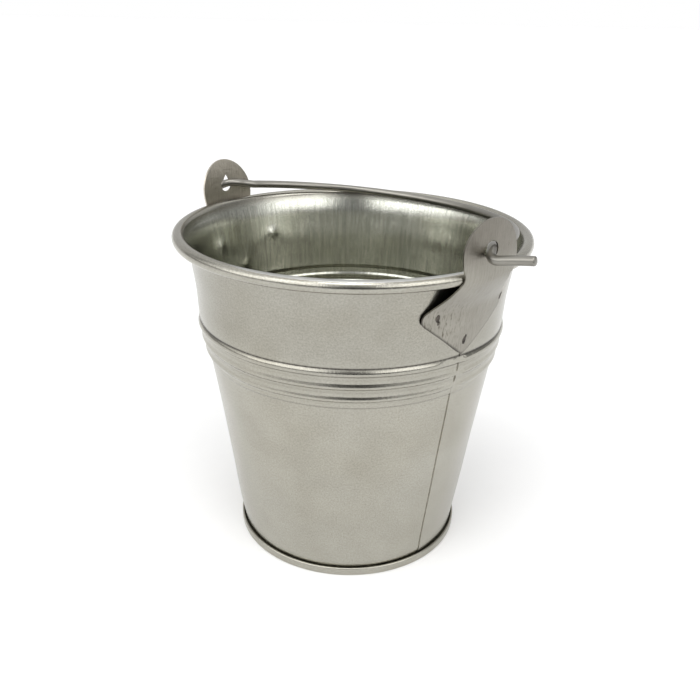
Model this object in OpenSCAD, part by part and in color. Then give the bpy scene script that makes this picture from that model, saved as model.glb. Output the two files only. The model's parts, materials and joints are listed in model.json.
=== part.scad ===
// Small galvanised sheet-metal bucket with a folding wire bail.
// Millimetres, +Z up, origin at the centre of the base ring.
// The bail turns about an axis parallel to X through the two ears and
// is drawn at rest, folded down towards +Y over the mouth.

/* [Body] */
// outside diameter of the rolled rim
rim_d = 130; // [128:0.5:132]
// height of the centre of the rolled rim above the base
rim_z = 121.2; // [120:0.1:122]
// outside radius of the rolled edge's tube
curl_r = 2.15; // [2:0.05:2.4]
// sheet thickness
sheet = 0.5; // [0.4:0.05:0.6]
// outside radius of the wall, run down to the base plane
foot_r = 42.8; // [42.6:0.1:43]
// radius gained per millimetre of height below the steps
lower_slope = 0.1433; // [0.14:0.001:0.146]
// radius gained per millimetre of height above the steps
upper_slope = 0.102; // [0.1:0.001:0.105]
// outside radius of the wall where it starts to flare to the rim
neck_r = 59; // [58.8:0.1:59.2]
// height where the flare to the rim starts
neck_z = 115; // [114:0.5:116]
// heights of the three shallow steps in the wall, lowest first
step_z = [75.9, 80.1, 85];
// height over which each step is drawn in
step_w = 0.9; // [0.6:0.1:1.2]
// height of the raised bead
bead_z = 90.1; // [89.6:0.1:90.6]
// radius of the bead's half-round section
bead_r = 1.3; // [1.1:0.05:1.4]
// how far the bead stands out from the wall
bead_h = 0.8; // [0.6:0.05:0.9]
// width of the side seam's lap
lap_w = 7; // [5:0.5:9]
// height of the lap above the wall
lap_t = 0.25; // [0.2:0.05:0.3]

/* [Base] */
// outside radius of the folded base ring
chime_r = 44.5; // [44.4:0.05:44.8]
// height of the folded base ring
chime_h = 3.15; // [3:0.05:3.4]
// height of the pan's floor above the ground, underside
floor_z = 2.6; // [2:0.1:2.8]

/* [Ears] */
// angle of each ear behind the X axis
ear_turn = 6.2; // [4:0.1:8]
// clearance between an ear and the wall it is welded to
ear_gap = 0.05; // [0.03:0.01:0.1]
// ear plate thickness
ear_t = 0.6; // [0.5:0.05:0.7]
// radius of the ear's rounded head
head_r = 12.4; // [12:0.1:12.8]
// height of the centre of the head
head_z = 126.8; // [126:0.1:127.5]
// height of the ear's bottom tip
tip_z = 91.9; // [91.7:0.1:92.5]
// height where the ear leaves the wall
lean_z = 109.5; // [109:0.1:110]
// height where the ear stands upright again
stand_z = 119.6; // [119.2:0.1:120]
// inside radius of the upright part of the ear
stand_r = 65.3; // [65.2:0.05:65.5]
// half width over the lower corners
corner_w = 18; // [17:0.1:18.5]
// height of the centre of the corner rounding
corner_z = 107.1; // [106.6:0.1:107.4]
// radius of the corner rounding
corner_r = 2.6; // [2.2:0.1:2.8]
// radius of the hole for the bail
hole_r = 3; // [2.9:0.05:3.2]
// radius of a spot weld
weld_r = 1.3; // [1:0.1:1.5]
// angle of the two upper welds either side of the ear's middle
weld_turn = 15; // [14:0.1:15.2]
// height of the two upper welds
weld_hi = 107.2; // [106.8:0.1:107.4]
// height of the lower weld
weld_lo = 97; // [96.5:0.1:98]

/* [Bail] */
// wire diameter
wire_d = 3; // [2.8:0.1:3]
// radius of the bail's arch, on the wire's centre line
bail_r = 61.9; // [61.5:0.1:62]
// height of the hinge axis
hinge_z = 129.1; // [128.8:0.1:129.4]
// how far the folded bail dips below level, in degrees
bail_dip = 5.7; // [4:0.1:6]
// bend radius of the elbows and hooks, on the wire's centre line
bend_r = 3.2; // [3:0.1:3.4]
// bend radius inside the hooked ends
hook_r = 2.5; // [2.3:0.1:2.8]
// angle of the first bend of a hooked end
hook_down = 50; // [45:1:52]
// angle by which the straight end rises again
hook_up = 10; // [8:1:12]
// how far the hooked ends reach from the middle
reach = 81.7; // [81:0.1:84]

/* [Hidden] */
$fn = 96;
rim_r = rim_d / 2;
tube_r = rim_r - curl_r;
wire_r = wire_d / 2;
gap = 0.03;
seam = 0.1;
ear_mid = stand_r + ear_t / 2;
hinge_y = -ear_mid * sin(ear_turn);
elbow_a = asin(bend_r / (bail_r + bend_r));
elbow_x = (bail_r + bend_r) * cos(elbow_a);
pin_end = 67.4;
hook_x1 = pin_end + hook_r * sin(hook_down);
hook_x2 = hook_x1 + hook_r * (sin(hook_down) + sin(hook_up));
hook_dip = hook_r * (cos(hook_up) + 1 - 2 * cos(hook_down));
last_len = (reach - hook_x2) / cos(hook_up);

// outside radius of the lower and the upper wall
function low(z) = foot_r + lower_slope * z;
function up(z) = neck_r + upper_slope * (z - neck_z);

// height of one step, three of them joining the two cones
step_h = (up(step_z[2]) - low(step_z[2])) / 3;

function step_points(i) = [
    [low(step_z[i] - step_w / 2) + i * step_h, step_z[i] - step_w / 2],
    [low(step_z[i] + step_w / 2) + (i + 1) * step_h, step_z[i] + step_w / 2]
];

function wall_line(d) = concat(
    [[low(sheet) - d, sheet]],
    [for (i = [0 : 2]) for (p = step_points(i)) [p[0] - d, p[1]]],
    [[neck_r - d, neck_z]],
    [[rim_r - 2 * curl_r + sheet - d, rim_z]]
);

function reversed(v) = [for (i = [len(v) - 1 : -1 : 0]) v[i]];

// ---- wall: rolled sheet with bead, steps, side lap and rim curl ----

module sheet_line() {
    polygon(concat(wall_line(0), reversed(wall_line(sheet))));
}

module bead_at(r) {
    translate([up(bead_z) + bead_h - bead_r, bead_z])
        circle(r = r);
}

module curl_at(r) {
    translate([tube_r, rim_z])
        circle(r = r);
}

module wall_section() {
    difference() {
        union() {
            sheet_line();
            bead_at(bead_r);
            curl_at(curl_r);
        }
        bead_at(bead_r - sheet);
        curl_at(curl_r - sheet);
        translate([up(bead_z) - sheet - 3, bead_z - 1.5])
            square([3, 3]);
    }
}

// strip of the side seam, standing on the lower wall
module lap() {
    z0 = chime_h + 0.3;
    z1 = step_z[0] - step_w;
    rotate([0, 0, -ear_turn])
        intersection() {
            rotate_extrude()
                polygon([
                    [low(z0) - sheet / 2, z0],
                    [low(z0) + lap_t, z0],
                    [low(z1) + lap_t, z1],
                    [low(z1) - sheet / 2, z1]
                ]);
            translate([30, 0, z0 - 1])
                cube([40, lap_w, z1 - z0 + 2]);
        }
}

module wall() {
    color([0.66, 0.66, 0.62])
        difference() {
            union() {
                rotate_extrude()
                    wall_section();
                lap();
            }
            each_weld(weld_r + gap, 6);
        }
}

// ---- stiffening wire inside the curl ----

module rim_wire() {
    color([0.5, 0.5, 0.48])
        rotate_extrude()
            curl_at(curl_r - sheet - gap);
}

// ---- base: pan with its edge folded round the foot of the wall ----

module bottom_pan() {
    inner = low(sheet) - sheet - gap;
    color([0.62, 0.62, 0.58])
        rotate_extrude()
            polygon([
                [0, floor_z],
                [inner - sheet, floor_z],
                [inner - sheet, 0.3],
                [inner - sheet + 0.3, 0],
                [chime_r - 0.4, 0],
                [chime_r, 0.4],
                [chime_r, chime_h - 0.4],
                [chime_r - 0.4, chime_h],
                [low(chime_h) + gap, chime_h],
                [low(sheet) + gap, sheet],
                [inner, sheet],
                [inner, floor_z + sheet],
                [0, floor_z + sheet]
            ]);
}

// ---- ears ----

// plate that hugs the wall, leans out past the rim and stands up
module ear_shell() {
    z0 = tip_z - 1;
    z1 = head_z + head_r + 1;
    rotate_extrude()
        polygon([
            [up(z0) + ear_gap, z0],
            [up(lean_z) + ear_gap, lean_z],
            [stand_r, stand_z],
            [stand_r, z1],
            [stand_r + ear_t, z1],
            [stand_r + ear_t, stand_z - ear_t / 3],
            [up(lean_z) + ear_t, lean_z - ear_t / 3],
            [up(z0) + ear_t, z0]
        ]);
}

// outline seen from outside, x to the right and y up
module ear_outline() {
    cx = corner_w - corner_r;
    waist_z = head_z - head_r / 2;
    waist_w = head_r * cos(30);
    translate([0, head_z])
        circle(r = head_r);
    for (s = [-1, 1])
        translate([s * cx, corner_z])
            circle(r = corner_r);
    polygon([
        [0, tip_z],
        [cx + corner_r * 0.6, corner_z - corner_r * 0.8],
        [cx, corner_z],
        [cx + corner_r * 0.6, corner_z + corner_r * 0.8],
        [waist_w + 2.2, waist_z - 6.5],
        [waist_w, waist_z],
        [-waist_w, waist_z],
        [-waist_w - 2.2, waist_z - 6.5],
        [-cx - corner_r * 0.6, corner_z + corner_r * 0.8],
        [-cx, corner_z],
        [-cx - corner_r * 0.6, corner_z - corner_r * 0.8]
    ]);
}

module ear_plate() {
    difference() {
        rotate([0, 0, -ear_turn])
            intersection() {
                ear_shell();
                rotate([90, 0, 90])
                    translate([0, 0, 40])
                        linear_extrude(height = 40)
                            ear_outline();
            }
        translate([50, hinge_y, hinge_z])
            rotate([0, 90, 0])
                cylinder(r = hole_r, h = 30);
        weld_set(weld_r + gap, 6);
    }
}

module ear_right() {
    color([0.68, 0.68, 0.64])
        ear_plate();
}

module ear_left() {
    color([0.68, 0.68, 0.64])
        mirror([1, 0, 0])
            ear_plate();
}

// ---- spot welds ----

// radial cylinder through the wall and the ear at one weld
module weld_pin(r, over, turn, z) {
    rotate([0, 0, turn - ear_turn])
        translate([up(z) - sheet - over, 0, z])
            rotate([0, 90, 0])
                cylinder(r = r, h = sheet + ear_t + 2 * over);
}

module weld_set(r, over) {
    weld_pin(r, over, 0, weld_lo);
    for (s = [-1, 1])
        weld_pin(r, over, s * weld_turn, weld_hi);
}

module each_weld(r, over) {
    weld_set(r, over);
    mirror([1, 0, 0])
        weld_set(r, over);
}

module spot_welds() {
    color([0.45, 0.45, 0.42])
        each_weld(weld_r, 0.12);
}

// ---- bail ----

// piece of wire bent round a ring in the XY plane, between two angles,
// stopping just short of both
module ring_arc(ring, from, to) {
    short = seam / ring * 180 / PI;
    rotate([0, 0, from + short])
        rotate_extrude(angle = to - from - 2 * short)
            translate([ring, 0])
                circle(r = wire_r);
}

// straight piece of wire along X, stopping just short of both ends
module rod(length) {
    translate([seam, 0, 0])
        rotate([0, 90, 0])
            cylinder(r = wire_r, h = length - 2 * seam);
}

// rounded knuckle that joins two pieces of wire, its poles along X
module knuckle() {
    rotate([0, 90, 0])
        sphere(r = wire_r + gap);
}

// straight end of the wire, its edge turned in
module hook_tip() {
    edge = 0.5;
    translate([seam, 0, 0])
        rotate([0, 90, 0])
            rotate_extrude()
                polygon([
                    [0, 0],
                    [wire_r, 0],
                    [wire_r, last_len - edge],
                    [wire_r - edge, last_len],
                    [0, last_len]
                ]);
}

// hooked end beyond the ear, drawn in the plane that is upright at rest
module hook() {
    dip1 = hook_r * (1 - cos(hook_down));
    translate([pin_end, -hook_r, 0])
        ring_arc(hook_r, 90 - hook_down, 90);
    translate([hook_x1, -dip1, 0])
        rotate([0, 0, -hook_down])
            knuckle();
    translate([2 * hook_x1 - pin_end, hook_r - 2 * dip1, 0])
        ring_arc(hook_r, 270 - hook_down, 270 + hook_up);
    translate([hook_x2, -hook_dip, 0])
        rotate([0, 0, hook_up]) {
            knuckle();
            hook_tip();
        }
}

// one half of what lies beyond the arch, drawn in the arch's own plane
module bail_end() {
    rotate([0, 0, elbow_a])
        translate([bail_r, 0, 0])
            rotate([0, 0, 90])
                knuckle();
    translate([elbow_x, bend_r, 0])
        ring_arc(bend_r, 180 + elbow_a, 270);
    translate([elbow_x, 0, 0]) {
        knuckle();
        rod(pin_end - elbow_x);
    }
    translate([pin_end, 0, 0])
        knuckle();
    rotate([90 + bail_dip, 0, 0])
        hook();
}

module bail() {
    color([0.6, 0.6, 0.57])
        translate([0, hinge_y, hinge_z])
            rotate([-bail_dip, 0, 0]) {
                ring_arc(bail_r, elbow_a, 180 - elbow_a);
                bail_end();
                mirror([1, 0, 0])
                    bail_end();
            }
}

wall();
rim_wire();
bottom_pan();
ear_right();
ear_left();
spot_welds();
bail();
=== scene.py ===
"""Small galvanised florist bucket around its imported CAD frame. Lengths are in metres, +Z up."""

import json
import math

import bpy
import numpy as np
from mathutils import Matrix, Vector, noise


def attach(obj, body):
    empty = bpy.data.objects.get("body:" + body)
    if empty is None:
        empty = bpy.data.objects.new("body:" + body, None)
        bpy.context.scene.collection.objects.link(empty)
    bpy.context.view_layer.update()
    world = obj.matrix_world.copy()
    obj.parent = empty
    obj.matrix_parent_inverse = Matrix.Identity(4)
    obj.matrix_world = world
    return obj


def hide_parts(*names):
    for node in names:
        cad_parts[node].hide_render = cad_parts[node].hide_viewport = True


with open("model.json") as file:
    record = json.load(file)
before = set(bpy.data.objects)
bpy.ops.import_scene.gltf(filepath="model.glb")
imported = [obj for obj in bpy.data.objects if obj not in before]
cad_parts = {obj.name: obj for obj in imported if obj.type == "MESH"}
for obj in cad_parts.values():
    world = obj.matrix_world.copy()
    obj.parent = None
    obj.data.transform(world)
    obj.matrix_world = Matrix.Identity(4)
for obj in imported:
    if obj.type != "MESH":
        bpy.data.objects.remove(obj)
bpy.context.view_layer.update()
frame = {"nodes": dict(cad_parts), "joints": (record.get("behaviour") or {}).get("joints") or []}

MM = 0.001
TAU = 2 * math.pi

# ---- driving sizes, in millimetres ----
# The foot, tapers, curl, chime and floor are the CAD's, and the rim is 0.05 inside the CAD's rim.
# The bead, steps, ribs, flare and ears follow the photograph more closely than the CAD does.
RIM_R = 64.95
RIM_Z = 121.2
CURL_R = 2.15
SHEET = 0.5
FOOT_R = 42.8
LOWER_SLOPE = 0.1433
UPPER_SLOPE = 0.102
NECK_R, NECK_Z = 59.0, 115.0
FLARE_Z = 111.5
STEP_Z = (75.9, 80.1, 85.0)
STEP_W = 0.9
# the second and third steps sit lower than the CAD's
STEP_DROP = (0.0, 1.4, 1.4)
BEAD_Z, BEAD_H = 89.25, 0.88
BEAD_ABOVE, BEAD_BELOW = 1.75, 0.95
GROOVE_FOOT = 86.3
RIB_Z, RIB_H, RIB_W = (79.15, 84.05), 0.47, 1.9
CHIME_R, CHIME_H = 44.5, 3.15
FLOOR_Z = 2.6
HINGE = frame["joints"][0]["pos_m"]
EAR_TURN = math.radians(6.2)
EAR_T = 0.6
HEAD_R = {1: 12.4, -1: 12.9}
HEAD_Z = {1: 126.6, -1: 126.2}
HEAD_SHIFT = {1: 1.4, -1: -1.6}
HEAD_SKEW = 0.12
# painted shade on the near ear's head and painted light on the whole far ear
HEAD_PAINTED_SHADE = {1: 0.75, -1: 0.0}
EAR_PAINTED_LIGHT = {1: 0.0, -1: 1.0}
HOLE = {1: (0.0, 3.0, 0.0), -1: (-1.3, 2.9, 1.3)}
TIP_Z = 91.9
LEAN_Z, STAND_Z, STAND_R = 109.5, 119.6, 65.3
WELDS = {1: ((0.0, 97.0), (-12.4, 107.4), (17.4, 108.4)), -1: ((0.0, 97.0), (-15.0, 107.2), (15.0, 107.2))}
WELD_R = 1.15
DRIPS = {1: ((-11.9, 105.6), (0.5, 98.3)), -1: ()}
WIRE_R = 1.5
BAIL_R = 61.9
BAIL_DIP = math.radians(5.7)
# the wire's end about the hinge axis: out through the ear's hole, round a hook and back up
HOOK = ((62.7, 6.2, -0.35), (63.6, 3.0, 0.25), (65.2, 0.2, 0.25), (66.3, -1.5, -0.35),
        (67.3, -2.7, -1.0), (68.4, -3.45, -1.4), (70.0, -3.6, -1.5), (72.5, -3.2, -1.05),
        (76.9, -2.4, -0.2), (81.2, -1.5, 0.45))
SEAM_AZ = -EAR_TURN
LAP = 3.2
RIM_DROP = 0.65


def low(z):
    """Outside radius of the lower wall at height z."""
    return FOOT_R + LOWER_SLOPE * z


def up(z):
    """Outside radius of the upper wall at height z."""
    return NECK_R + UPPER_SLOPE * (z - NECK_Z)


STEP_H = (up(STEP_Z[2]) - low(STEP_Z[2])) / 3


def smooth(t):
    t = np.clip(t, 0.0, 1.0)
    return t * t * (3 - 2 * t)


def wall_radius(z, bead=1.0, steps=1.0):
    """Outside radius of the wall, with the bead and the steps at the given strengths."""
    stepped = low(z) + sum(STEP_H * smooth((z - s + d) / STEP_W + 0.5) for s, d in zip(STEP_Z, STEP_DROP))
    plain = low(z) + 3 * STEP_H * smooth((z - STEP_Z[0]) / (STEP_Z[2] - STEP_Z[0]))
    lower = plain + steps * (stepped - plain)
    hollow = 0.35 * np.sin(math.pi * np.clip((z - BEAD_Z - 2.5) / 22.0, 0, 1)) ** 2
    upper = up(z) - hollow
    ribs = sum(np.cos(math.pi / 2 * np.clip((z - r) / RIB_W, -1, 1)) ** 2 for r in RIB_Z)
    body = np.where(z > STEP_Z[2] + STEP_W / 2, upper, lower) + steps * RIB_H * ribs
    flare = RIM_R - 2 * CURL_R + SHEET - up(RIM_Z)
    body = body + flare * np.clip((z - FLARE_Z) / (RIM_Z - FLARE_Z), 0, 1) ** 2.4
    above = np.clip(1 - ((z - BEAD_Z) / BEAD_ABOVE) ** 2, 0, None)
    below = np.sqrt(np.clip(1 - ((z - BEAD_Z) / BEAD_BELOW) ** 2, 0, None))
    return body + bead * BEAD_H * np.where(z > BEAD_Z, above, below)


def groove(z):
    """The bead's hollow seen from inside, ending in a short slope that faces up."""
    above = smooth((BEAD_Z + BEAD_ABOVE - z) / BEAD_ABOVE)
    below = smooth((z - GROOVE_FOOT) / 1.3)
    return 0.36 * np.where(z > BEAD_Z, above, below)


# painted shade lines where the section turns sharply, as height, depth of tone and half-width
CREASES = ((91.15, 1.0, 0.34), (88.2, 0.7, 0.22), (STEP_Z[0], 0.3, 0.3), (87.0, 0.12, 0.4), (82.1, 0.15, 0.4))


# ---- mesh helpers ----

def new_object(name, verts, faces, sharp=50.0):
    """A smooth-shaded object from vertices in millimetres."""
    mesh = bpy.data.meshes.new(name)
    mesh.from_pydata([tuple(c * MM for c in v) for v in verts], [], faces)
    mesh.polygons.foreach_set("use_smooth", [True] * len(mesh.polygons))
    mesh.set_sharp_from_angle(angle=math.radians(sharp))
    mesh.update()
    obj = bpy.data.objects.new(name, mesh)
    bpy.context.scene.collection.objects.link(obj)
    return obj


def set_uv(obj, uv_of_vertex):
    """A UV map in metres from a function of the vertex number."""
    layer = obj.data.uv_layers.new(name="sheet_m")
    for loop in obj.data.loops:
        layer.data[loop.index].uv = uv_of_vertex(loop.vertex_index)


def revolve(name, profile, angles, warp=None, sharp=50.0):
    """Turns a closed profile of (r, z) rows about Z; warp may move each ring point."""
    profile = np.asarray(profile, float)
    n, m = len(angles), len(profile)
    verts, uv = [], []
    run = np.concatenate([[0], np.cumsum(np.hypot(*np.diff(profile, axis=0).T))])
    for a in angles:
        r, z = profile[:, 0], profile[:, 1]
        if warp is not None:
            r, z = warp(a, r, z)
        verts.extend(zip(r * math.cos(a), r * math.sin(a), z))
        uv.extend((a * 55 * MM, s * MM) for s in run)
    faces = []
    for i in range(n):
        j = (i + 1) % n
        for k in range(m):
            q = (k + 1) % m
            faces.append((i * m + k, j * m + k, j * m + q, i * m + q))
    obj = new_object(name, verts, faces, sharp)
    set_uv(obj, lambda v: uv[v])
    return obj


def turn_angles(count, extra=()):
    base = [i / count * TAU for i in range(count)]
    return sorted(set(base) | {e % TAU for e in extra})


# ---- wall ----

def arc(cx, cz, r, a0, a1, count):
    """Points on a circle from angle a0 to a1 in degrees, both ends included."""
    steps = [math.radians(a0 + (a1 - a0) * i / count) for i in range(count + 1)]
    return [(cx + r * math.cos(a), cz + r * math.sin(a)) for a in steps]


def dent(a, z):
    """Slight unevenness of the pressed sheet, in millimetres."""
    p = Vector((math.cos(a) * 1.6, math.sin(a) * 1.6, z / 38.0))
    q = Vector((math.cos(a) * 4.0, math.sin(a) * 4.0, z / 20.0))
    total = 0.35 * noise.noise(p) + 0.16 * noise.noise(q)
    for side, spots in WELDS.items():
        for turn, height in spots:
            b = math.radians(turn) - EAR_TURN
            at = b if side > 0 else math.pi - b
            across = 58.0 * ((a - at + math.pi) % TAU - math.pi)
            far = (across ** 2 + (z - height) ** 2) / 2
            if far < 40:
                total -= 0.4 * math.exp(-far / 1.3 ** 2) + 0.35 * math.exp(-far / 3.2 ** 2)
    return total


def front_drop(a, z):
    """How far the rim sits lower between the ears on the viewer's side, as a height change."""
    turn = (math.cos(a - math.radians(CAMERA_TURN - 90)) + 1) / 2
    return -RIM_DROP * turn ** 2 * float(smooth((z - 95.0) / 22.0))


def wall_heights():
    """Heights of the wall's rings, close together where the section changes."""
    zs = list(np.arange(1.0, 74.0, 2.0))
    zs += list(np.arange(74.0, 87.0, 0.16))
    zs += list(np.arange(87.0, 88.0, 0.3))
    zs += list(np.arange(88.1, 91.8, 0.08))
    zs += list(np.arange(92.0, 112.0, 0.8))
    zs += list(np.arange(112.0, 119.6, 0.4))
    return np.array(zs)


def ring_values(obj, name, column):
    """Stores one value for each point of the section, the same all the way round."""
    layer = obj.data.attributes.new(name, "FLOAT", "POINT")
    layer.data.foreach_set("value", np.tile(column, len(obj.data.vertices) // len(column)))


def make_wall():
    zs = wall_heights()
    top = arc(RIM_R - CURL_R, RIM_Z, CURL_R, 218, 538, 44)
    outer_n = len(zs)
    profile = [(0.0, z) for z in zs] + top + [(0.0, z) for z in zs[::-1]]
    tags = np.array([0] * outer_n + [1] * len(top) + [2] * outer_n)

    def warp(a, r, z):
        d = (a - SEAM_AZ + math.pi) % TAU - math.pi
        arc_mm = d * 56.0
        if arc_mm >= 0:
            bead = float(smooth((arc_mm - 0.9) / 1.6))
            steps = float(smooth((arc_mm - 1.2) / 2.5))
            over = 0.22 * math.exp(-arc_mm / LAP / 2)
        else:
            bead = 0.32 + 0.68 * float(smooth((-arc_mm - 5.0) / 5.5))
            bead += 0.25 * math.exp(-((arc_mm + 2.0) / 0.8) ** 2)
            steps = 0.75 + 0.25 * float(smooth(-arc_mm / 6.0))
            over = -0.1 * math.exp(-(arc_mm + 0.15) ** 2 / 0.04)
        bump = np.array([dent(a, h) for h in z])
        calm = smooth((z - 2.0) / 12.0) * smooth((118.0 - z) / 10.0)
        outer = wall_radius(z, bead, steps) + over * smooth((118.5 - z) / 3) + bump * calm
        inner = wall_radius(z, 0.0, steps) - SHEET + bead * groove(z) + bump * calm
        out = np.where(tags == 0, outer, np.where(tags == 2, inner, r))
        return out, z + np.array([front_drop(a, h) for h in z])

    near = [SEAM_AZ + s / 55 for s in (-0.5, -0.3, -0.15, -0.04, 0.04, 0.4, 0.8, 1.4, -1.0, -1.6)]
    obj = revolve("wall_shell", profile, turn_angles(560, near), warp, sharp=38)
    rest = np.zeros(len(top) + outer_n)
    # painted shade lines along the creases of the section
    lines = sum(depth * np.exp(-((zs - z) / width) ** 2) for z, depth, width in CREASES)
    ring_values(obj, "inside", np.where(tags == 2, 1.0, 0.0))
    # painted shade: the wall above the bead is made darker
    ring_values(obj, "upper", np.concatenate([smooth((zs - BEAD_Z) / 6.0), rest]))
    ring_values(obj, "crease", np.clip(np.concatenate([lines, rest]), 0, 1))
    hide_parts("wall")
    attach(obj, "bucket")
    return obj


# ---- base ----

def make_base():
    inner = low(0.5) - SHEET
    edge = 0.45
    lip = low(CHIME_H) + 0.5
    profile = [(0.01, FLOOR_Z + 0.5), (20, FLOOR_Z + 0.5), (34, FLOOR_Z + 0.5)]
    profile += [(inner - 2.5, FLOOR_Z + 0.5), (inner - 0.6, FLOOR_Z + 0.9)]
    profile += [(inner - 0.05, FLOOR_Z + 1.9), (inner + 0.02, 1.3)]
    profile += [(low(1.2) - 0.03, 1.2), (low(1.3) + 0.15, 1.25), (lip - 0.05, 1.5)]
    profile += arc(lip + 0.22, CHIME_H - 0.22, 0.22, 180, 90, 6)
    profile += arc(CHIME_R - edge, CHIME_H - edge, edge, 90, 0, 8)
    profile += arc(CHIME_R - edge - 0.05, edge, edge, 0, -90, 8)
    profile += arc(inner - SHEET + edge, edge, edge, -90, -180, 8)
    profile += [(inner - SHEET, FLOOR_Z - 0.7)]
    profile += arc(inner - SHEET - 0.7, FLOOR_Z - 0.7, 0.7, 0, 90, 6)
    profile += [(34, FLOOR_Z), (20, FLOOR_Z), (0.01, FLOOR_Z)]
    obj = revolve("base_pan", profile, turn_angles(240), sharp=60)
    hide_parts("bottom_pan")
    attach(obj, "bucket")
    return obj


# ---- ears ----

def ear_radius(z):
    """Radius of the ear's inner face at height z, with rounded bends."""
    w = 1.6
    lean = (STAND_R - up(LEAN_Z)) / (STAND_Z - LEAN_Z)

    def ramp(t, width):
        return 0.5 * (t + np.sqrt(t * t + width * width))

    r = up(z) + (lean - UPPER_SLOPE) * ramp(z - LEAN_Z, w) - lean * ramp(z - STAND_Z, w)
    return np.minimum(r, STAND_R + 0.02)


def ear_outline(count, side):
    """Points round the ear as (across, up), anticlockwise from the right of the waist."""
    cx, cz, cr = 14.9, 107.1, 3.1
    shift = HEAD_SHIFT[side]
    pts = [(x + shift, z - HEAD_SKEW * x) for x, z in arc(0, HEAD_Z[side], HEAD_R[side], -26, 206, 60)]
    down = [(-10.6, 120.6), (-11.6, 118.2), (-12.7, 115.4), (-14.2, 112.9), (-15.8, 110.9)]
    corner = arc(-cx, cz, cr, 128, 233, 12)
    tip = [(-1.0, TIP_Z + 0.55), (-0.4, TIP_Z + 0.12), (0.4, TIP_Z + 0.12), (1.0, TIP_Z + 0.55)]
    lean = [(x + shift * (z - cz) / (HEAD_Z[side] - cz), z) for x, z in down]
    other = [(-x + 2 * shift * max(0, (z - cz) / (HEAD_Z[side] - cz)), z) for x, z in reversed(lean + corner)]
    pts += lean + corner + tip + other
    pts = np.array(pts)
    closed = np.vstack([pts, pts[:1]])
    run = np.concatenate([[0], np.cumsum(np.hypot(*np.diff(closed, axis=0).T))])
    s = np.linspace(0, run[-1], count, endpoint=False)
    return np.stack([np.interp(s, run, closed[:, 0]), np.interp(s, run, closed[:, 1])], 1)


def hole_outline(angles, middle, hole):
    """The punched hole, torn to a narrow peak at its top by the given amount."""
    shift, radius, torn = hole
    out = []
    for a in angles:
        peak = 0.7 * torn * math.exp(-((a - math.pi / 2) / 0.22) ** 2)
        burr = 0.5 * torn * math.exp(-((abs(a - math.pi / 2) - 0.75) / 0.3) ** 2)
        r = radius + peak - burr
        out.append((middle[0] + shift + r * math.cos(a), middle[1] + r * math.sin(a)))
    return out


def ear_place(u, z, off, side):
    """Row-frame point of the ear: u across, z up, off outward from its inner face."""
    r0 = float(ear_radius(z))
    a = math.asin(max(-1, min(1, u / (r0 + 0.3))))
    dr = float(ear_radius(z + 0.2) - ear_radius(z - 0.2)) / 0.4
    n = math.hypot(1, dr)
    r = r0 + off / n
    h = z - off * dr / n
    b = a - EAR_TURN
    return (side * r * math.cos(b), r * math.sin(b), h)


def ear_values(obj, flat, border, side):
    """Where the plate is marked, where painted shade darkens its lower border, where painted shade darkens
    the near ear's head and where painted light brightens the far ear, for its material.
    """
    values = {"low_down": [], "edge": [], "head_painted_shade": [], "ear_painted_light": []}
    for number, (u, z) in enumerate(flat):
        values["low_down"].append(float(smooth((115.0 - z) / 8.0)) * float(smooth((3.0 - u) / 12.0)))
        on_border = border[0] <= number < border[1]
        # painted shade along the lower border, stronger on the left
        values["edge"].append(float(smooth((112.0 - z) / 6.0)) * on_border * (0.9 if u < 0 else 0.3))
        # painted shade on the near ear's head, painted light on all of the far ear
        values["head_painted_shade"].append(HEAD_PAINTED_SHADE[side] * float(smooth((z - 122.0) / 8.0)))
        values["ear_painted_light"].append(EAR_PAINTED_LIGHT[side])
    for key, column in values.items():
        obj.data.attributes.new(key, "FLOAT", "POINT").data.foreach_set("value", column * 2)


def make_ear(name, node, side):
    """A bent plate between the torn hole and the outline, in rings, with both faces."""
    count, rings = 192, 30
    outer = ear_outline(count, side)
    hinge_z = HINGE[2] / MM
    middle = (0.0, hinge_z)
    spread = [(k / rings) ** 0.9 for k in range(rings + 1)]
    turn = np.arctan2(outer[:, 1] - middle[1], outer[:, 0] - middle[0])
    turn = np.where(turn < -math.pi / 2, turn + TAU, turn)
    hole = np.array(hole_outline(turn, middle, HOLE[side]))
    verts = []
    flat = [(u, z) for t in spread for u, z in hole * (1 - t) + outer * t]
    for off in (0.02, EAR_T):
        verts.extend(ear_place(u, z, off, side) for u, z in flat)
    per = count * (rings + 1)
    faces = []
    for k in range(rings):
        for i in range(count):
            j = (i + 1) % count
            a, b, c, d = k * count + i, k * count + j, (k + 1) * count + j, (k + 1) * count + i
            faces.append((a, d, c, b))
            faces.append((per + a, per + b, per + c, per + d))
    for i in range(count):
        j = (i + 1) % count
        faces.append((i, j, per + j, per + i))
        o = rings * count
        faces.append((o + j, o + i, per + o + i, per + o + j))
    if side > 0:
        faces = [f[::-1] for f in faces]
    obj = new_object(name, verts, faces, sharp=40)
    set_uv(obj, lambda v: (flat[v % per][0] * MM, flat[v % per][1] * MM))
    ear_values(obj, flat, (rings * count, per), side)
    bevel = obj.modifiers.new("edge", "BEVEL")
    bevel.width = 0.13 * MM
    bevel.segments = 2
    bevel.limit_method = "ANGLE"
    bevel.angle_limit = math.radians(50)
    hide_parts(node)
    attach(obj, "bucket")
    return obj


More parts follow.
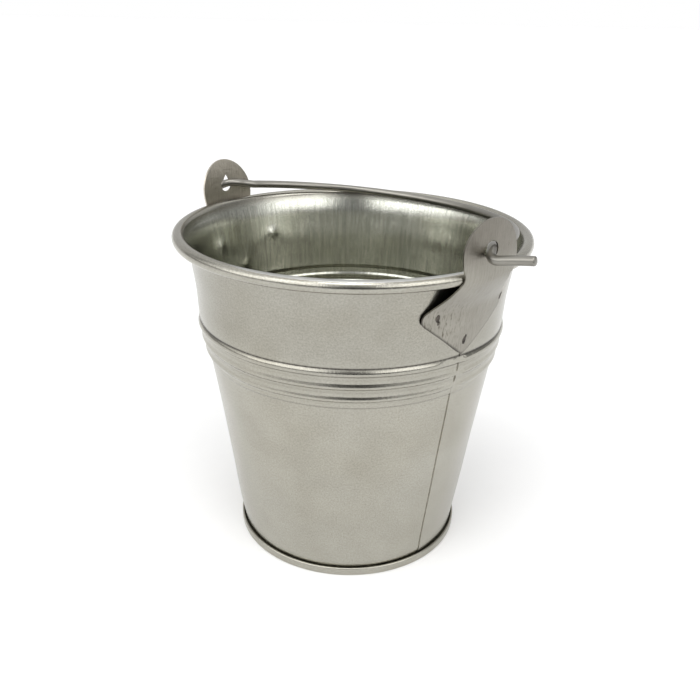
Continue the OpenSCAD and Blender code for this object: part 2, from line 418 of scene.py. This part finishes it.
def weld_point(turn, z, side, face, ring, spoke):
    """One point of a weld scar: face 1 is on the ear, face -1 inside the wall."""
    s = spoke * TAU
    wobble = 1 + 0.25 * noise.noise(Vector((math.cos(s) * 2, math.sin(s) * 2, z + turn + side)))
    lift = 0.1 * math.sin(math.pi * min(1, ring[0] * 1.15)) - 0.02
    reach = WELD_R * ring[1] * ring[0] * wobble
    u = 58.5 * math.sin(math.radians(turn)) + reach * math.cos(s) * 0.8
    h = z + reach * math.sin(s) * 1.5
    if face > 0:
        return ear_place(u, h, EAR_T + lift, side)
    r = float(wall_radius(np.array(h))) - SHEET - lift
    b = math.asin(u / r) - EAR_TURN
    return (side * r * math.cos(b), r * math.sin(b), h)


def weld_faces(base, rings, spokes, flip):
    """The quads of one scar whose points start at base."""
    quads = []
    for k in range(rings):
        for i in range(spokes):
            j = (i + 1) % spokes
            inner, outer = base + k * spokes, base + (k + 1) * spokes
            quad = (inner + i, inner + j, outer + j, outer + i)
            quads.append(quad[::-1] if flip else quad)
    return quads


def make_welds():
    """Small sunken, heat-stained scars on the ears and inside the wall."""
    rings, spokes = 5, 16
    verts, faces = [], []
    for side in (1, -1):
        spots = [(t, h, 1.0) for t, h in WELDS[side]] + [(t, h, 0.6) for t, h in DRIPS[side]]
        for turn, z, size in spots:
            for face in (1, -1):
                faces += weld_faces(len(verts), rings, spokes, side * face < 0)
                verts += [weld_point(turn, z, side, face, (k / rings, size), i / spokes)
                          for k in range(rings + 1) for i in range(spokes)]
    obj = new_object("weld_marks", verts, faces, sharp=80)
    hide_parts("spot_welds")
    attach(obj, "bucket")
    return obj


# ---- bail ----

def bail_path():
    """Right half of the wire's centre line as (x, y, z) about the hinge axis, middle first."""
    arch = []
    for i in range(45):
        t = math.pi / 2 * (1 - i / 44) + math.radians(9.2) * i / 44
        y = BAIL_R * math.sin(t)
        arch.append((BAIL_R * math.cos(t), y * math.cos(BAIL_DIP), -y * math.sin(BAIL_DIP)))
    return arch + smooth_line([arch[-1]] + list(HOOK), 9)


def smooth_line(knots, steps):
    """Points on a smooth curve through the knots."""
    k = [Vector(p) for p in knots]
    k = [2 * k[0] - k[1]] + k + [2 * k[-1] - k[-2]]
    out = []
    for p0, p1, p2, p3 in zip(k, k[1:], k[2:], k[3:]):
        for i in range(1, steps + 1):
            t = i / steps
            q = 2 * p1 + (p2 - p0) * t + (2 * p0 - 5 * p1 + 4 * p2 - p3) * t ** 2
            q += (3 * p1 - p0 - 3 * p2 + p3) * t ** 3
            out.append(tuple(q / 2))
    return out


def tube(name, centres, radii, sides=28):
    """A closed round tube through the centres, with its section carried along without twist."""
    c = np.array(centres, float)
    tangent = np.gradient(c, axis=0)
    tangent /= np.linalg.norm(tangent, axis=1)[:, None]
    ref = Vector((0, 0, 1))
    verts = []
    for p, t, r in zip(c, tangent, radii):
        t = Vector(t)
        side = ref.cross(t).normalized()
        ref = t.cross(side).normalized()
        for i in range(sides):
            a = i / sides * TAU
            v = Vector(p) + (side * math.cos(a) + ref * math.sin(a)) * r
            verts.append(tuple(v))
    faces = []
    for k in range(len(c) - 1):
        for i in range(sides):
            j = (i + 1) % sides
            faces.append((k * sides + i, k * sides + j, (k + 1) * sides + j, (k + 1) * sides + i))
    faces.append(tuple(range(sides))[::-1])
    faces.append(tuple(range((len(c) - 1) * sides, len(c) * sides)))
    obj = new_object(name, verts, faces, sharp=60)
    run = np.concatenate([[0], np.cumsum(np.linalg.norm(np.diff(c, axis=0), axis=1))])
    set_uv(obj, lambda v: ((v % sides) / sides * 9.4 * MM, run[v // sides] * MM))
    return obj


def far_side(p):
    """Across position of a point of the far half: its end leans to +y, so the far ear hides it."""
    if p.y > 0:
        return p.y
    return p.y + 6.5 * float(smooth((p.x - 66.5) / 12.0))


def make_bail():
    hinge = Vector(HINGE) / MM
    half = [Vector(p) for p in bail_path()]
    edge = 0.5
    step = (half[-1] - half[-2]).normalized()
    ends = [(half[-1] + step * edge * math.sin(a), WIRE_R - edge * (1 - math.cos(a)))
            for a in (0.5, 1.0, 1.4)]
    half += [p for p, r in ends]
    radii = [WIRE_R] * (len(half) - len(ends)) + [r for p, r in ends]
    right = [hinge + p for p in half]
    left = [hinge + Vector((-p.x, far_side(p), p.z)) for p in reversed(half[1:])]
    line = [tuple(p) for p in left + right]
    obj = tube("bail_wire", line, radii[:0:-1] + radii)
    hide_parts("bail")
    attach(obj, "bail")
    return obj


# ---- materials ----

class Nodes:
    """Short spelling for building a node tree."""

    def __init__(self, name):
        self.mat = bpy.data.materials.new(name)
        self.mat.use_nodes = True
        self.tree = self.mat.node_tree
        self.tree.nodes.clear()
        self.out = self.add("ShaderNodeOutputMaterial")
        self.bsdf = self.add("ShaderNodeBsdfPrincipled")
        self.link(self.bsdf.outputs[0], self.out.inputs[0])

    def add(self, kind, **props):
        node = self.tree.nodes.new(kind)
        for key, value in props.items():
            setattr(node, key, value)
        return node

    def link(self, a, b):
        self.tree.links.new(a, b)

    def coords(self, scale, use_uv=True):
        src = self.add("ShaderNodeUVMap", uv_map="sheet_m") if use_uv else self.add("ShaderNodeTexCoord")
        out = src.outputs[0] if use_uv else src.outputs["Object"]
        mapping = self.add("ShaderNodeMapping")
        mapping.inputs["Scale"].default_value = scale
        self.link(out, mapping.inputs[0])
        return mapping.outputs[0]

    def noise(self, scale, vector_scale, detail=4.0, rough=0.55, use_uv=True, distort=0.0):
        node = self.add("ShaderNodeTexNoise")
        node.inputs["Scale"].default_value = scale
        node.inputs["Detail"].default_value = detail
        node.inputs["Roughness"].default_value = rough
        node.inputs["Distortion"].default_value = distort
        self.link(self.coords(vector_scale, use_uv), node.inputs["Vector"])
        return node.outputs["Fac"]

    def ramp(self, fac, stops):
        node = self.add("ShaderNodeValToRGB")
        while len(node.color_ramp.elements) < len(stops):
            node.color_ramp.elements.new(0.5)
        for e, (pos, col) in zip(node.color_ramp.elements, stops):
            e.position = pos
            e.color = (*col, 1) if len(col) == 3 else (col[0],) * 3 + (1,)
        self.link(fac, node.inputs[0])
        return node.outputs[0]

    def mix(self, fac, a, b, mode="MIX"):
        node = self.add("ShaderNodeMix", data_type="RGBA", blend_type=mode)
        for value, socket in ((fac, node.inputs[0]), (a, node.inputs[6]), (b, node.inputs[7])):
            if hasattr(value, "is_output"):
                self.link(value, socket)
            else:
                socket.default_value = value
        return node.outputs[2]

    def math(self, op, a, b=0.0):
        node = self.add("ShaderNodeMath", operation=op)
        for value, socket in ((a, node.inputs[0]), (b, node.inputs[1])):
            if hasattr(value, "is_output"):
                self.link(value, socket)
            else:
                socket.default_value = value
        return node.outputs[0]

    def bump(self, height, strength, distance, normal=None):
        node = self.add("ShaderNodeBump")
        node.inputs["Strength"].default_value = strength
        node.inputs["Distance"].default_value = distance
        self.link(height, node.inputs["Height"])
        if normal is not None:
            self.link(normal, node.inputs["Normal"])
        return node.outputs[0]


# painted shade colour, for the dark crease lines of the wall and the dark lower border of the ears
PAINTED_SHADE_TONE = (0.05, 0.045, 0.04, 1)


def galvanised():
    """Bright rolled zinc: faint blotches, upright grain and small scuffs, with painted shade lines along the
    creases, a painted darker upper wall and a painted lighter inside face.
    """
    m = Nodes("galvanised_sheet")
    cloud = m.noise(75, (1, 1, 1), 6, 0.62, use_uv=False)
    patch = m.noise(17, (1, 1, 1.6), 3, 0.5, use_uv=False)
    grain = m.noise(1, (1900, 60, 1), 3, 0.6)
    fine = m.noise(1, (1500, 1500, 1), 4, 0.7)
    scuff = m.noise(1, (150, 900, 1), 5, 0.75, distort=0.6)
    base = m.ramp(cloud, [(0.28, (0.372, 0.359, 0.312)), (0.74, (0.432, 0.419, 0.371))])
    stain = m.ramp(patch, [(0.36, (0.93, 0.915, 0.88)), (0.6, (1.0, 1.0, 1.0))])
    base = m.mix(0.7, base, stain, "MULTIPLY")
    marks = m.ramp(scuff, [(0.25, (0.72, 0.72, 0.70)), (0.37, (1.0, 1.0, 1.0))])
    base = m.mix(0.7, base, marks, "MULTIPLY")
    speck = m.ramp(fine, [(0.32, (0.80, 0.80, 0.79)), (0.62, (1.06, 1.06, 1.06))])
    base = m.mix(1.0, base, speck, "MULTIPLY")
    inside = m.add("ShaderNodeAttribute", attribute_name="inside").outputs["Fac"]
    # the inside face: upright brush streaks, and painted light that makes it lighter
    brush = m.noise(1, (700, 55, 1), 5, 0.75)
    grain_and_painted_light = m.ramp(brush, [(0.32, (0.80, 0.82, 0.80)), (0.66, (1.2, 1.21, 1.21))])
    grain_and_painted_light = m.mix(1.0, grain_and_painted_light, (1.37, 1.41, 1.45, 1), "MULTIPLY")
    base = m.mix(inside, base, m.mix(1.0, base, grain_and_painted_light, "MULTIPLY"))
    # painted shade: the upper wall is darkened by 12 percent
    upper = m.add("ShaderNodeAttribute", attribute_name="upper").outputs["Fac"]
    base = m.mix(upper, base, m.mix(1.0, base, (0.88, 0.88, 0.88, 1), "MULTIPLY"))
    # painted shade: dark crease lines, broken up by the grain
    crease = m.add("ShaderNodeAttribute", attribute_name="crease").outputs["Fac"]
    broken = m.math("ADD", m.math("MULTIPLY", grain, 0.8), 0.55)
    base = m.mix(m.math("MULTIPLY", crease, broken), base, PAINTED_SHADE_TONE)
    m.link(base, m.bsdf.inputs["Base Color"])
    m.bsdf.inputs["Metallic"].default_value = 1.0
    rough = m.math("ADD", m.math("MULTIPLY", cloud, 0.12), 0.12)
    rough = m.math("ADD", rough, m.math("MULTIPLY", grain, 0.08))
    m.link(rough, m.bsdf.inputs["Roughness"])
    n = m.bump(grain, 0.5, 0.00006)
    n = m.bump(fine, 0.35, 0.00005, n)
    n = m.bump(cloud, 0.3, 0.0004, n)
    m.link(n, m.bsdf.inputs["Normal"])
    return m.mat


def ear_metal():
    """Plate with coarse upright grain, dark rolled-in dashes and a hammered lower part, with painted shade
    along its lower border, a painted darker head on the near ear and a painted lighter far ear.
    """
    m = Nodes("ear_plate")
    grain = m.noise(1, (1900, 110, 1), 5, 0.7)
    dash = m.noise(1, (1700, 330, 1), 5, 0.75)
    pits = m.noise(1, (700, 600, 1), 4, 0.65)
    cloud = m.noise(55, (1, 1, 1), 4, 0.6, use_uv=False)
    base = m.ramp(cloud, [(0.3, (0.275, 0.262, 0.228)), (0.7, (0.345, 0.33, 0.29))])
    line = m.ramp(grain, [(0.3, (0.78, 0.775, 0.76)), (0.56, (1.0, 1.0, 1.0))])
    base = m.mix(0.8, base, line, "MULTIPLY")
    low_down = m.add("ShaderNodeAttribute", attribute_name="low_down").outputs["Fac"]
    marks = m.ramp(dash, [(0.38, (0.34, 0.31, 0.26)), (0.47, (1.0, 1.0, 1.0))])
    base = m.mix(m.math("ADD", m.math("MULTIPLY", low_down, 0.75), 0.15), base, marks, "MULTIPLY")
    # painted shade on the near ear's head and painted light on the far ear, as tone changes of one plate
    head_painted_shade = m.add("ShaderNodeAttribute", attribute_name="head_painted_shade").outputs["Fac"]
    base = m.mix(head_painted_shade, base, m.mix(1.0, base, (0.66, 0.64, 0.63, 1), "MULTIPLY"))
    ear_painted_light = m.add("ShaderNodeAttribute", attribute_name="ear_painted_light").outputs["Fac"]
    base = m.mix(ear_painted_light, base, m.mix(1.0, base, (1.75, 1.7, 1.68, 1), "MULTIPLY"))
    # painted shade darkens the lower border of the plate
    edge = m.add("ShaderNodeAttribute", attribute_name="edge").outputs["Fac"]
    base = m.mix(edge, base, PAINTED_SHADE_TONE)
    m.link(base, m.bsdf.inputs["Base Color"])
    m.bsdf.inputs["Metallic"].default_value = 0.97
    m.link(m.math("ADD", m.math("MULTIPLY", grain, 0.22), 0.2), m.bsdf.inputs["Roughness"])
    n = m.bump(grain, 0.5, 0.0001)
    n = m.bump(pits, 0.5, 0.00025, n)
    m.link(n, m.bsdf.inputs["Normal"])
    return m.mat


def wire_metal(name, colour):
    """Drawn wire, with fine grain along it."""
    m = Nodes(name)
    grain = m.noise(1, (3000, 90, 1), 3, 0.6)
    cloud = m.noise(90, (1, 1, 1), 4, 0.6, use_uv=False)
    dark = tuple(c * 0.8 for c in colour)
    m.link(m.ramp(cloud, [(0.3, dark), (0.7, colour)]), m.bsdf.inputs["Base Color"])
    m.bsdf.inputs["Metallic"].default_value = 0.95
    m.link(m.math("ADD", m.math("MULTIPLY", grain, 0.2), 0.22), m.bsdf.inputs["Roughness"])
    m.link(m.bump(grain, 0.25, 0.00008), m.bsdf.inputs["Normal"])
    return m.mat


def weld_metal():
    """Dark, heat-stained scar."""
    m = Nodes("weld_scar")
    cloud = m.noise(700, (1, 1, 1), 4, 0.7, use_uv=False)
    stain = m.ramp(cloud, [(0.38, (0.015, 0.012, 0.01)), (0.7, (0.16, 0.14, 0.12))])
    m.link(stain, m.bsdf.inputs["Base Color"])
    m.bsdf.inputs["Metallic"].default_value = 0.7
    m.bsdf.inputs["Roughness"].default_value = 0.55
    m.link(m.bump(cloud, 0.6, 0.0003), m.bsdf.inputs["Normal"])
    return m.mat


def floor_material():
    """White paper sweep."""
    m = Nodes("floor_paper")
    cloud = m.noise(30, (1, 1, 1), 4, 0.6, use_uv=False)
    paper = m.ramp(cloud, [(0.3, (0.93, 0.93, 0.93)), (0.7, (0.955, 0.955, 0.955))])
    m.link(paper, m.bsdf.inputs["Base Color"])
    m.bsdf.inputs["Roughness"].default_value = 0.7
    m.link(m.bump(cloud, 0.05, 0.0005), m.bsdf.inputs["Normal"])
    return m.mat


# ---- stage: metres, degrees, and watts for the lights ----

CAMERA_TURN = 44.27
CAMERA_OUT = 0.27419
CAMERA_ABOVE_RIM = 0.07178
LOOK_DOWN = 23.60
LOOK_SIDE = 0.055
ROLL = 1.117
LENS = 39.326
SIDE_GLOW = 1.75
# name, turn from the camera, distance out, height, power
LIGHTS = (("left", -42, 0.6, 0.75, 0.6), ("right", 50, 0.65, 0.75, 0.45), ("top", -5, 0.35, 1.0, 1.6))


def make_camera():
    data = bpy.data.cameras.new("camera")
    data.lens = LENS
    data.sensor_width = 36
    data.clip_start = 0.01
    cam = bpy.data.objects.new("camera", data)
    a = math.radians(CAMERA_TURN)
    rim = RIM_Z * MM
    cam.location = (CAMERA_OUT * math.sin(a), -CAMERA_OUT * math.cos(a), rim + CAMERA_ABOVE_RIM)
    b = a + math.radians(LOOK_SIDE)
    e = math.radians(LOOK_DOWN)
    ahead = Vector((-math.sin(b) * math.cos(e), math.cos(b) * math.cos(e), -math.sin(e)))
    right = ahead.cross(Vector((0, 0, 1))).normalized()
    above = right.cross(ahead)
    t = math.radians(ROLL)
    x = right * math.cos(t) + above * math.sin(t)
    y = above * math.cos(t) - right * math.sin(t)
    cam.rotation_mode = "QUATERNION"
    cam.rotation_quaternion = Matrix((x, y, -ahead)).transposed().to_quaternion()
    bpy.context.scene.collection.objects.link(cam)
    bpy.context.scene.camera = cam


def area_light(name, place, target, size, power):
    data = bpy.data.lights.new(name, "AREA")
    data.shape = "RECTANGLE"
    data.size, data.size_y = size
    data.energy = power
    obj = bpy.data.objects.new(name, data)
    obj.location = place
    way = Vector(target) - Vector(place)
    obj.rotation_mode = "QUATERNION"
    obj.rotation_quaternion = way.to_track_quat("-Z", "Y")
    bpy.context.scene.collection.objects.link(obj)


def studio_world():
    """A white tent with bright sides, a calmer top and a darker gap on the photograph camera's side.

    Reflections and light come from the tent. The backdrop that the camera sees directly is plain white.
    """
    world = bpy.data.worlds.new("studio")
    world.use_nodes = True
    tree = world.node_tree
    link = tree.links.new

    def op(kind, a, b):
        node = tree.nodes.new("ShaderNodeMath")
        node.operation = kind
        for value, socket in ((a, node.inputs[0]), (b, node.inputs[1])):
            if hasattr(value, "is_output"):
                link(value, socket)
            else:
                socket.default_value = value
        return node.outputs[0]

    def along(vector):
        node = tree.nodes.new("ShaderNodeVectorMath")
        node.operation = "DOT_PRODUCT"
        node.inputs[1].default_value = vector
        link(coord.outputs["Generated"], node.inputs[0])
        return node.outputs["Value"]

    def fade(value, start, end):
        """1 below start, falling smoothly to 0 at end."""
        node = tree.nodes.new("ShaderNodeMapRange")
        node.interpolation_type = "SMOOTHSTEP"
        link(value, node.inputs["Value"])
        node.inputs["From Min"].default_value = start
        node.inputs["From Max"].default_value = end
        node.inputs["To Min"].default_value = 1
        node.inputs["To Max"].default_value = 0
        return node.outputs["Result"]

    coord = tree.nodes.new("ShaderNodeTexCoord")
    a = math.radians(CAMERA_TURN)
    front = along((math.sin(a), -math.cos(a), 0))
    right = along((math.cos(a), math.sin(a), 0))
    rise = along((0, 0, 1))
    turn = op("ARCTAN2", right, front)
    wide = fade(op("ABSOLUTE", turn, 0), 0.7, 1.1)
    band = op("MULTIPLY", fade(rise, 0.14, 0.26), op("SUBTRACT", 1.0, fade(rise, 0.03, 0.09)))
    stand = fade(op("ABSOLUTE", op("SUBTRACT", turn, 0.12), 0), 0.2, 0.55)
    floor_gap = op("MULTIPLY", stand, fade(rise, 0.03, 0.1))
    low_gap = op("MAXIMUM", op("MULTIPLY", wide, band), floor_gap)
    narrow = fade(op("ABSOLUTE", op("SUBTRACT", turn, 0.02), 0), 0.16, 0.42)
    high_gap = op("MULTIPLY", narrow, fade(rise, 0.55, 0.85))
    gap = op("MAXIMUM", low_gap, high_gap)
    side = fade(op("ABSOLUTE", op("ADD", turn, 0.35), 0), 1.35, 1.7)
    lifted = op("SUBTRACT", 1.0, fade(rise, 0.1, 0.28))
    ring = op("ADD", 0.68, op("MULTIPLY", op("MULTIPLY", side, lifted), SIDE_GLOW))
    corner = fade(op("ABSOLUTE", op("SUBTRACT", op("ABSOLUTE", turn, 0), 1.8), 0), 0.2, 0.5)
    ring = op("MULTIPLY", ring, op("SUBTRACT", 1.0, op("MULTIPLY", corner, 0.5)))
    sky = op("ADD", 1.15, op("MULTIPLY", fade(rise, 0.5, 0.85), op("SUBTRACT", ring, 1.15)))
    light = op("MULTIPLY", sky, op("SUBTRACT", 1.0, op("MULTIPLY", gap, 0.9)))
    glow = tree.nodes["Background"]
    glow.inputs[0].default_value = (1, 1, 1, 1)
    seen = tree.nodes.new("ShaderNodeLightPath").outputs["Is Camera Ray"]
    link(op("ADD", seen, op("MULTIPLY", op("SUBTRACT", 1.0, seen), light)), glow.inputs[1])
    return world


def make_stage():
    """The floor, the tent and the lights."""
    size, n, front = 24.0, 60, 0.5
    a = math.radians(CAMERA_TURN)
    verts = []
    for i in range(n + 1):
        for j in range(n + 1):
            x, y = (i / n - 0.5) * size, j / n * size - front
            across, along = x * math.cos(a) - y * math.sin(a), x * math.sin(a) + y * math.cos(a)
            verts.append((across / MM, along / MM, 0))
    faces = [(i * (n + 1) + j, (i + 1) * (n + 1) + j, (i + 1) * (n + 1) + j + 1, i * (n + 1) + j + 1)
             for i in range(n) for j in range(n)]
    floor = new_object("floor", verts, faces)
    floor.data.materials.append(floor_material())
    bpy.context.scene.world = studio_world()
    for name, turn, out, height, power in LIGHTS:
        a = math.radians(CAMERA_TURN + turn)
        place = (out * math.sin(a), -out * math.cos(a), height)
        area_light(name, place, (0, 0, 0.1), (0.4, 0.3), power)
    bpy.context.scene.view_settings.view_transform = "Standard"


def dress(obj, mat):
    """Gives the object this one material."""
    obj.data.materials.clear()
    obj.data.materials.append(mat)


def main():
    make_camera()
    make_stage()
    zinc = galvanised()
    dress(make_wall(), zinc)
    dress(make_base(), zinc)
    ear = ear_metal()
    dress(make_ear("ear_plate_right", "ear_right", 1), ear)
    dress(make_ear("ear_plate_left", "ear_left", -1), ear)
    dress(make_welds(), weld_metal())
    dress(make_bail(), wire_metal("bail_wire", (0.29, 0.279, 0.25)))
    dress(frame["nodes"]["rim_wire"], wire_metal("rim_wire", (0.5, 0.5, 0.48)))


main()
